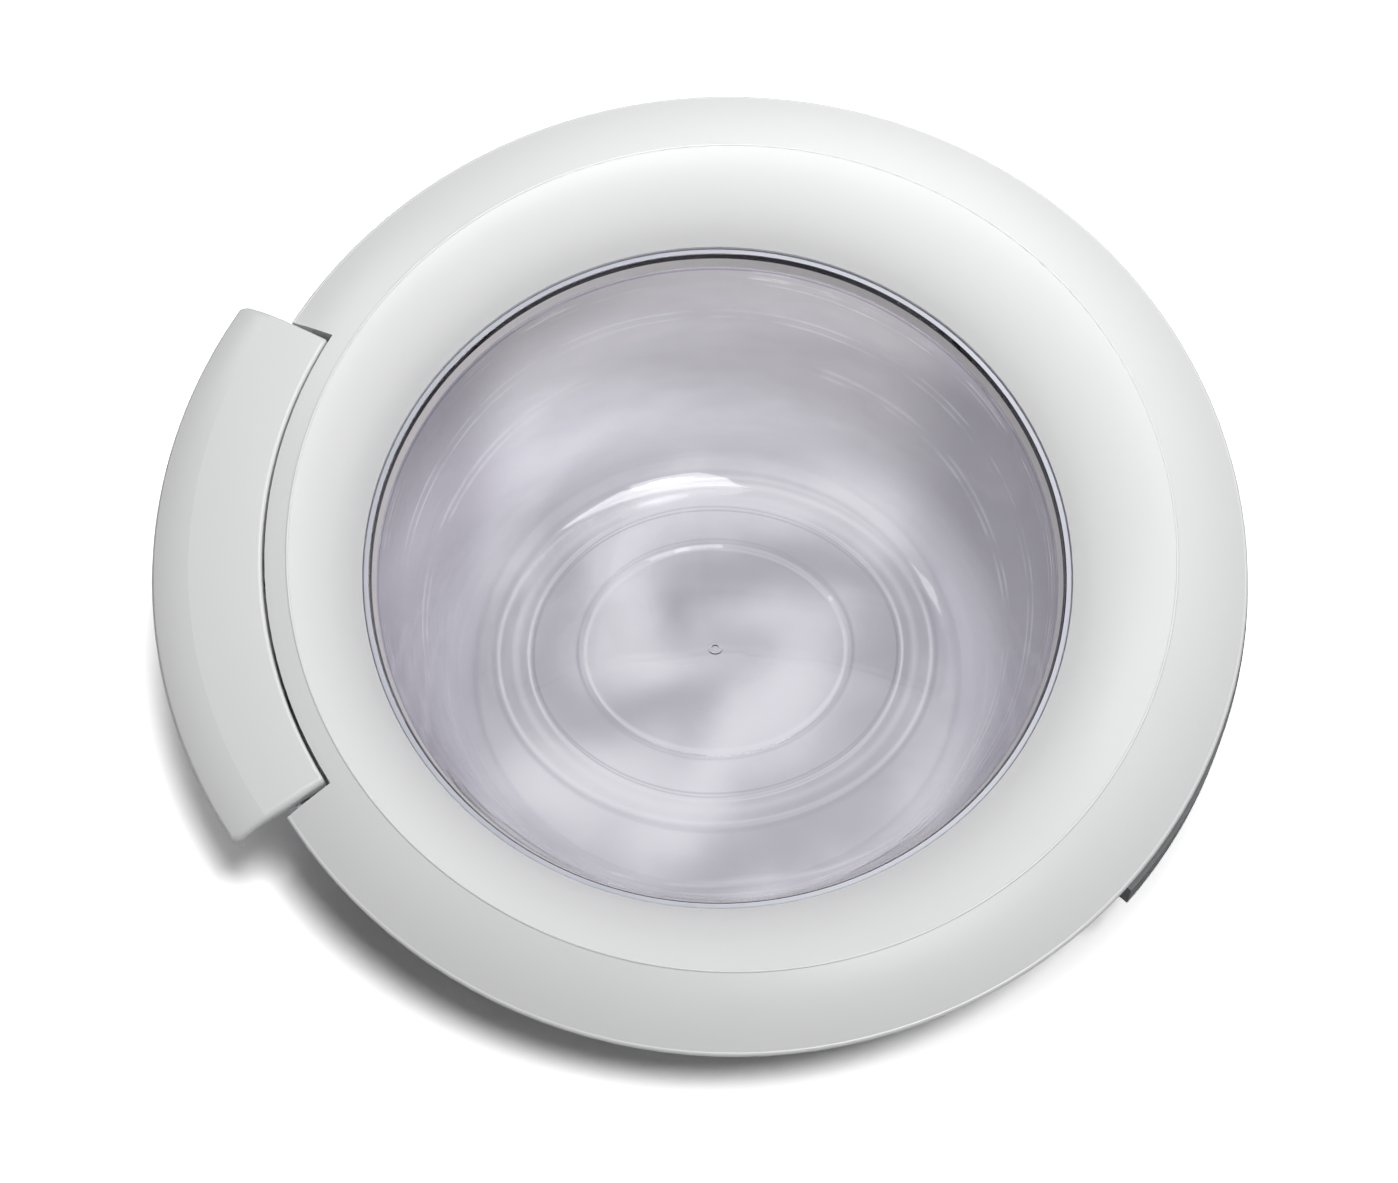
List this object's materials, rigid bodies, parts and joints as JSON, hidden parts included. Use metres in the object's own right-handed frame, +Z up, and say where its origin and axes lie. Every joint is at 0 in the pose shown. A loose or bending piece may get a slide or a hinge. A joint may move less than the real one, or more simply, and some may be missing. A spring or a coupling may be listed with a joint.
{
  "type": "washing machine door",
  "caption": "Round front-loader washing machine door: domed white ring, clear bowl with a slanted bottom, side pull handle with latch hook, and a hinge leaf.",
  "frame": {"origin": "where the axis of the bowl meets its slanted outer bottom, on which the door lies face up", "axes": "+Z up from the surface it lies on, +X from the handle towards the hinge, +Y towards the deep side of the bowl"},
  "size_m": [0.4801, 0.4279, 0.1989],
  "materials": {
    "white_plastic": "satin white moulded plastic",
    "inner_plastic": "light grey moulded plastic with a fine grain",
    "bowl_glass": "clear pressed glass with a faint violet tint",
    "seal_rubber": "dark grey rubber",
    "buffer_rubber": "grey rubber",
    "screw_steel": "zinc plated steel",
    "pin_steel": "ground steel",
    "spring_steel": "spring wire",
    "hook_metal": "die-cast metal",
    "plate_steel": "galvanised sheet steel",
    "dark_metal": "dark grey die-cast metal",
    "leaf_metal": "die-cast metal",
    "bush_plastic": "plain bearing plastic"
  },
  "bodies": {
    "door": {"front_frame": "white_plastic", "rear_frame": "inner_plastic", "glass_bowl": "bowl_glass", "glass_seal": "seal_rubber", "frame_screws": "screw_steel", "door_buffers": "buffer_rubber", "handle_bearings": "inner_plastic", "bearing_screws": "screw_steel", "handle_pins": "pin_steel", "handle_springs": "spring_steel", "latch_cradle": "plate_steel", "latch_pin": "pin_steel", "latch_spring": "spring_steel", "latch_screws": "screw_steel", "hinge_carrier": "dark_metal", "hinge_plate": "plate_steel", "hinge_screws": "screw_steel", "hinge_pin": "pin_steel", "hinge_clips": "spring_steel"},
    "handle": {"handle": "white_plastic"},
    "latch": {"latch_hook": "hook_metal"},
    "hinge_leaf": {"hinge_bracket": "leaf_metal", "hinge_bushes": "bush_plastic"}
  },
  "joints": [
    {"name": "handle_pull", "type": "hinge", "parent": "door", "child": "handle", "pos_m": [-0.192, -0.04203, 0.12934], "axis": [0, 0.9511, 0.309], "range_deg": [0, 12], "stiffness_Nm_per_rad": 1.5, "springref_deg": -14.32},
    {"name": "latch_swing", "type": "hinge", "parent": "door", "child": "latch", "pos_m": [-0.191, -0.03415, 0.10509], "axis": [0, 0.9511, 0.309], "range_deg": [-13.2, 0]},
    {"name": "hinge_swing", "type": "hinge", "parent": "door", "child": "hinge_leaf", "pos_m": [0.214, -0.02858, 0.08797], "axis": [0, 0.9511, 0.309], "range_deg": [-50, 90]}
  ],
  "couplings": [
    {"joint": "latch_swing", "follows": "handle_pull", "ratio": -1.1}
  ]
}
